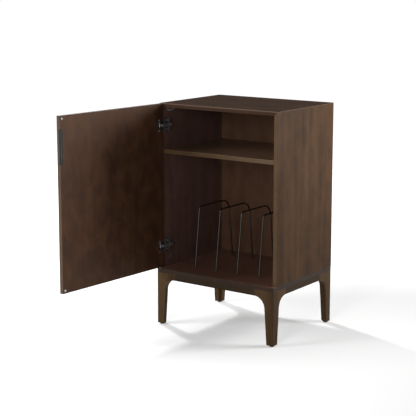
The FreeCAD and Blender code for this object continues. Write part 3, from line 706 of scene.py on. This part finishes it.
def seen_by_eye_or_mirror(finish):
    """One for rays from the camera, from a shiny surface or through clear plastic."""
    kinds = ("Is Camera Ray", "Is Glossy Ray", "Is Transmission Ray")
    eye, mirror, clear = [finish.add("ShaderNodeLightPath", output=kind) for kind in kinds]
    return eye.math("MAXIMUM", mirror).math("MAXIMUM", clear)


def glow_and_painted_shadow(finish):
    """A grey that rises with the distance from the middle of the floor. It is dim under the cabinet
    as a painted shadow and white far out.
    """
    sockets = {0: place(finish)}
    distance = finish.add("ShaderNodeVectorMath", {"operation": "LENGTH"}, sockets, output="Value")
    reach = GLOW_AND_PAINTED_SHADE_STOPS[-1][0]
    stops = [(metres / reach, (glow,) * 3) for metres, glow in GLOW_AND_PAINTED_SHADE_STOPS]
    return finish.add("ShaderNodeValToRGB", {"stops": stops}, {"Fac": distance / reach})


def paint_floor(finish):
    """Plain grey for the light, and grey with a glow for the eye."""
    paint = finish.add("ShaderNodeBsdfDiffuse", sockets={"Color": (FLOOR_SHADE,) * 3})
    glow = finish.add("ShaderNodeEmission", sockets={"Color": glow_and_painted_shadow(finish)})
    both = finish.add("ShaderNodeAddShader", sockets={0: paint, 1: glow})
    sockets = {0: seen_by_eye_or_mirror(finish), 1: paint, 2: both}
    seen = finish.add("ShaderNodeMixShader", sockets=sockets)
    finish.add("ShaderNodeOutputMaterial", sockets={"Surface": seen})
    return finish.owner


bpy.ops.mesh.primitive_plane_add(size=FLOOR_SIZE, location=(0, 0, 0))
studio_floor = bpy.context.object
studio_floor.name = "studio_floor"
studio_floor.data.materials.append(paint_floor(new_finish("studio_floor")))
print("floor glow under the cabinet and far out:", GLOW_AND_PAINTED_SHADE_STOPS[0][1], GLOW_AND_PAINTED_SHADE_STOPS[-1][1])

# %% [markdown]
# ## The surroundings
#
# The room is white to look at and in reflections, which gives lacquer and metal something pale to
# mirror. If it also lit the cabinet that strongly, the shading would go flat, so for all other rays
# it is close to dark. The Light Path node tells the two apart.

# %% World
WORLD_LIGHT = 0.05
WORLD_WHITE = 1.0

world = bpy.data.worlds.new("studio_world")
bpy.context.scene.world = world
room = Finish(world)
dim = room.add("ShaderNodeBackground", sockets={"Color": WHITE, "Strength": WORLD_LIGHT})
bright = room.add("ShaderNodeBackground", sockets={"Color": WHITE, "Strength": WORLD_WHITE})
walls = room.add("ShaderNodeMixShader", sockets={0: seen_by_eye_or_mirror(room), 1: dim, 2: bright})
room.add("ShaderNodeOutputWorld", sockets={"Surface": walls})
print("world light on the cabinet:", WORLD_LIGHT)

# %% [markdown]
# ## Lamps
#
# Five area lamps light the cabinet as soft boxes would in a studio. A narrow one close to the right
# side, and a second just behind it, wash down that side and reach the open door. A broad one in
# front lights the compartments and the front edges, and a broad one high on the left lights the top
# and the floor. The small, strong one far back on the left throws the cabinet's shadow forward.
# Spot or sun lamps would do, but an area lamp's size sets how soft its shadow is.

# %% Lamps
CABINET_MIDDLE = (0.0, -0.1, 0.5)
ALL_ROUND = 180.0


def soft_lamp(name, position, target, size, power, spread=ALL_ROUND):
    """A rectangular area lamp that looks at a point. The spread is its widest angle of light."""
    data = bpy.data.lights.new(name, "AREA")
    data.shape = "RECTANGLE"
    data.size, data.size_y = size
    data.energy = power
    data.spread = math.radians(spread)
    lamp = bpy.data.objects.new(name, data)
    bpy.context.scene.collection.objects.link(lamp)
    lamp.location = position
    aim = Vector(target) - Vector(position)
    lamp.rotation_euler = aim.to_track_quat("-Z", "Y").to_euler()
    lamp.visible_camera = False
    print("%s of %.1f W at %s" % (name, power, position))


soft_lamp("side_lamp", (1.27, 0.62, 0.98), target=(0.1, -0.25, 0.55), size=(0.45, 0.6), power=5.3,
          spread=80.0)
soft_lamp("rear_side_lamp", (1.15, 0.86, 1.20), CABINET_MIDDLE, size=(0.5, 0.5), power=2.8)
soft_lamp("front_lamp", (0.81, -3.12, 1.2), CABINET_MIDDLE, size=(1.0, 1.0), power=45.0)
soft_lamp("left_lamp", (-1.9, -2.2, 2.2), CABINET_MIDDLE, size=(1.4, 1.4), power=72.0)
soft_lamp("shadow_lamp", (-3.2, 1.25, 3.0), target=(0.0, 0.0, 0.2), size=(0.4, 0.4), power=145.0)

# %% [markdown]
# ## The camera
#
# The camera stands to the right of the open front and higher than the top, with a long lens that
# keeps the perspective calm. It looks slightly down. A level camera with a large lens shift would
# keep the upright edges parallel, but the same shift would push the cabinet out of the picture from
# other sides, so most of the framing is done by the tilt and only the rest by a small shift.

# %% Camera
PICTURE_WIDTH = 416.0      # pixels
FOCAL_LENGTH = 1187.0      # pixels
SENSOR_WIDTH = 36.0        # millimetres
SHIFT = -0.08
CAMERA_PLACE = (2.353, -3.497, 1.253)
LOOK_DOWN = 9.468          # degrees
TURN = 35.736              # degrees round from straight in front

lens = bpy.data.cameras.new("camera")
lens.sensor_width = SENSOR_WIDTH
lens.lens = FOCAL_LENGTH * SENSOR_WIDTH / PICTURE_WIDTH
lens.shift_y = SHIFT
camera = bpy.data.objects.new("camera", lens)
bpy.context.scene.collection.objects.link(camera)
camera.location = CAMERA_PLACE
camera.rotation_euler = (math.radians(90.0 - LOOK_DOWN), 0.0, math.radians(TURN))
bpy.context.scene.camera = camera
bpy.context.scene.view_settings.view_transform = "Standard"
print("camera lens in mm: %.1f" % lens.lens)
